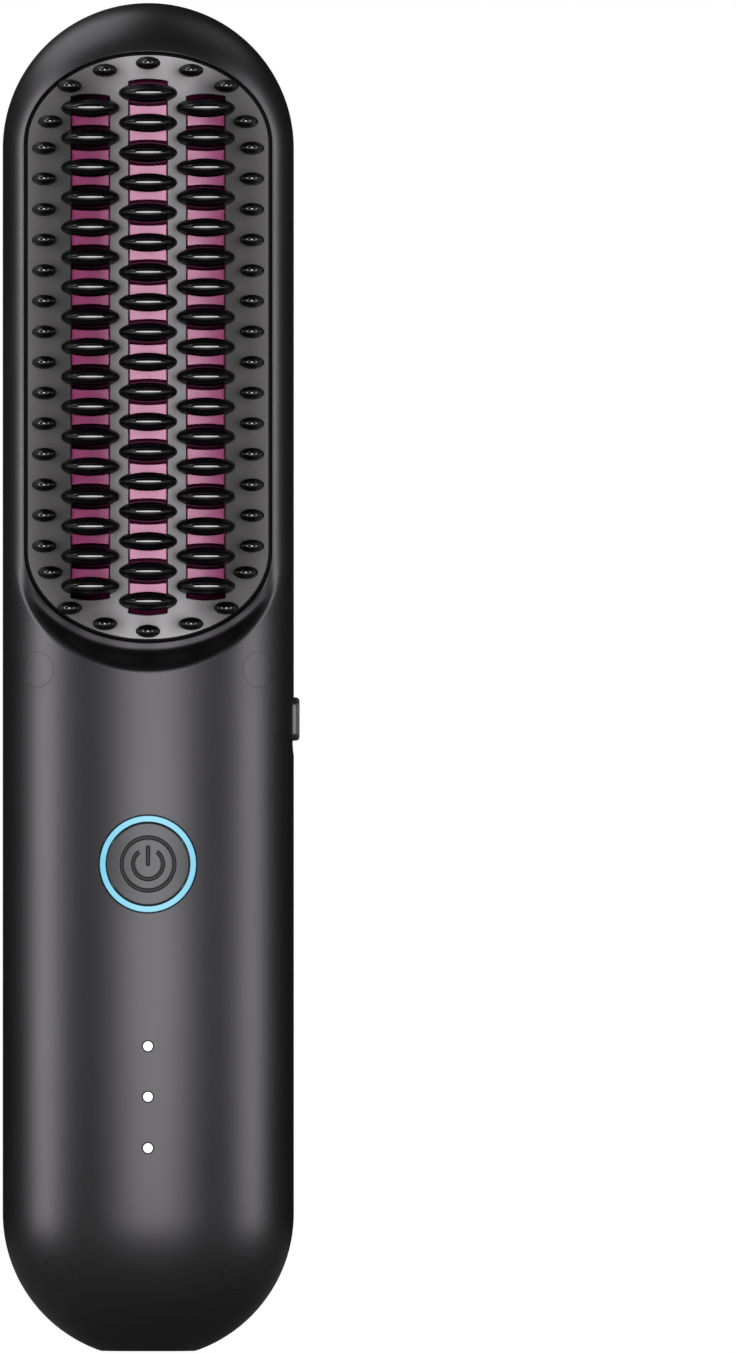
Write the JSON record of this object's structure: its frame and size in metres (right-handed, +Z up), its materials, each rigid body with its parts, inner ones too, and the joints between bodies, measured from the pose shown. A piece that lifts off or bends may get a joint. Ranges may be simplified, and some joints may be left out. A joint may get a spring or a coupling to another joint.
{
  "type": "hair straightening brush",
  "caption": "Cordless heated hair straightening brush: capsule handle, bristle field with arched tooth caps, power button with light ring, and a side travel lock.",
  "frame": {"origin": "middle of the flat foot, at the mouth of the charging socket", "axes": "+Z up the handle towards the brush head, -Y the way the bristles point, +X the side with the travel lock"},
  "size_m": [0.0441, 0.0413, 0.2],
  "materials": {
    "charcoal_shell": "satin",
    "grey_plate": "satin",
    "black_tip": "polished",
    "black_bristle": "semi gloss",
    "black_seal": "matt",
    "magenta_metal": "anodised",
    "button_cap": "satin",
    "light_ring": "frosted",
    "status_light": "frosted",
    "slider_knob": "satin",
    "screw_steel": "zinc plated",
    "heat_plastic": "matt",
    "heater_ceramic": "matt",
    "mica_sheet": "matt",
    "cell_can": "shrink film",
    "nickel_strip": "bright",
    "circuit_board": "solder mask",
    "foam_pad": "matt",
    "socket_steel": "bright",
    "chassis_plastic": "matt",
    "switch_plastic": "matt",
    "light_chip": "gloss",
    "wire_insulation": "satin"
  },
  "bodies": {
    "housing": {"front_shell": "charcoal_shell", "rear_shell": "charcoal_shell", "screw_plugs": "charcoal_shell", "shell_screws": "screw_steel", "brush_plate": "grey_plate", "plate_gasket": "black_seal", "tooth_comb_left": "black_tip", "tooth_comb_centre": "black_tip", "tooth_comb_right": "black_tip", "heater_bar_left": "magenta_metal", "heater_bar_centre": "magenta_metal", "heater_bar_right": "magenta_metal", "bristle_ring": "black_bristle", "heater_carrier": "heat_plastic", "carrier_screws": "screw_steel", "ceramic_heaters": "heater_ceramic", "temperature_sensor": "heater_ceramic", "thermal_fuse": "nickel_strip", "insulation_sheet": "mica_sheet", "button_light_ring": "light_ring", "tact_switch": "switch_plastic", "ring_light_chips": "light_chip", "status_lights": "status_light", "status_light_chips": "light_chip", "lock_switch": "switch_plastic", "battery_cell": "cell_can", "battery_tabs": "nickel_strip", "main_board": "circuit_board", "cell_pad": "foam_pad", "charge_socket": "socket_steel", "charge_board": "circuit_board", "inner_chassis": "chassis_plastic", "frame_screws": "screw_steel", "heater_leads": "wire_insulation", "charge_leads": "wire_insulation", "switch_leads": "wire_insulation"},
    "button": {"power_button": "button_cap", "tact_plunger": "switch_plastic"},
    "slider": {"lock_slider": "slider_knob", "lock_lever": "switch_plastic"}
  },
  "joints": [
    {"name": "power_press", "type": "slide", "parent": "housing", "child": "button", "axis": [0, 1, 0], "range_m": [0, 0.00045], "stiffness_N_per_m": 1500, "springref_m": -0.0004},
    {"name": "lock_slide", "type": "slide", "parent": "housing", "child": "slider", "axis": [0, 0, -1], "range_m": [0, 0.002]}
  ]
}
